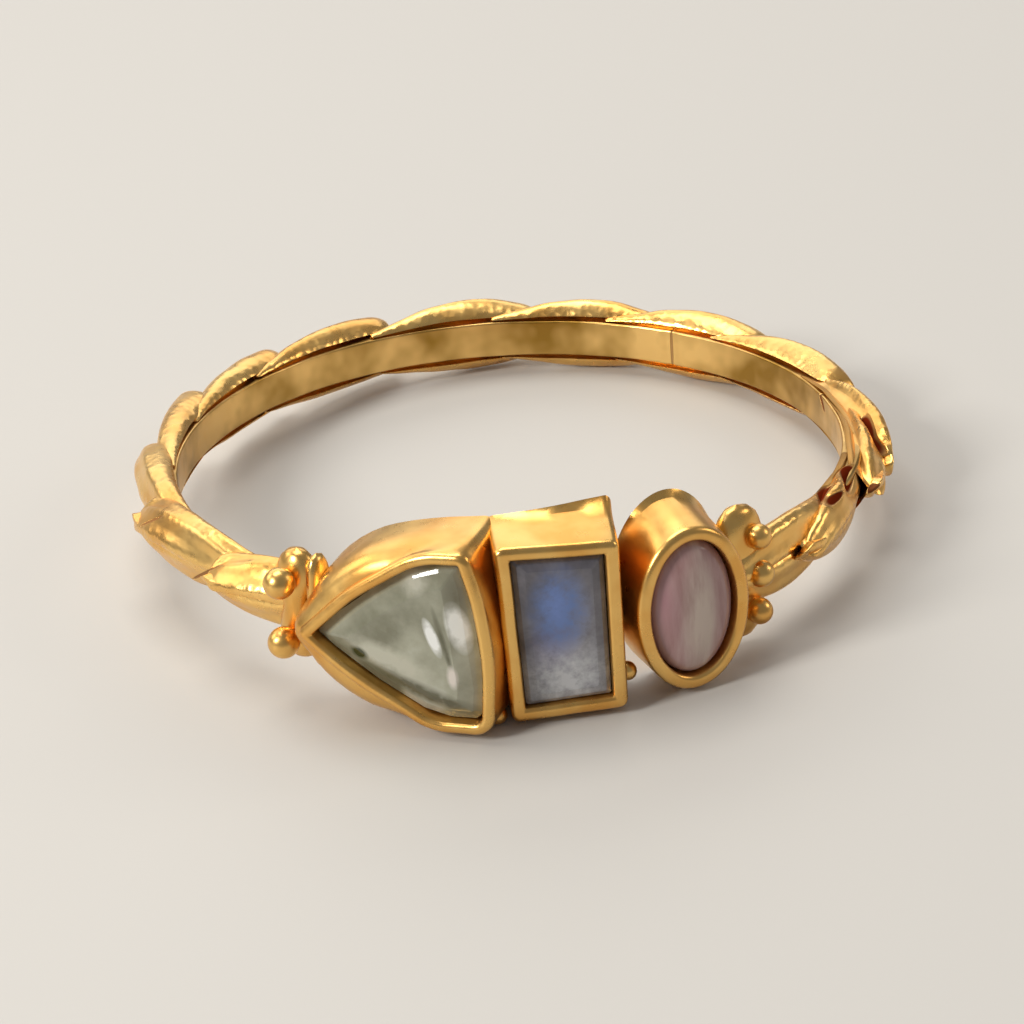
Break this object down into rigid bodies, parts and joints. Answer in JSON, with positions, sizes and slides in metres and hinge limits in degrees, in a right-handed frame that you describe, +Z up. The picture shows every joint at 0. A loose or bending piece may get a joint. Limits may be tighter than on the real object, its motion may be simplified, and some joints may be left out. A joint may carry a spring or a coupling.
{
  "type": "labradorite ring",
  "caption": "Gold finger ring lying on its side: a band of overlapping leaf pairs and a row of bezel-set stones, labradorite in the middle, with small gold balls beside them.",
  "frame": {"origin": "on the surface that the ring lies on, below the middle of its outline", "axes": "+Z up, finger axis leaning 4.5 degrees from +Z; -Y toward the middle of the settings; +X toward the oval stone's end"},
  "size_m": [0.02, 0.021, 0.005],
  "materials": {
    "gold": "satin yellow gold",
    "pale_green_stone": "polished facets",
    "labradorite": "polished facets with a blue flash",
    "pink_stone": "polished dome"
  },
  "bodies": {
    "root": {"gold_band_and_settings": "gold", "triangle_stone": "pale_green_stone", "labradorite_stone": "labradorite", "oval_stone": "pink_stone"}
  },
  "joints": []
}
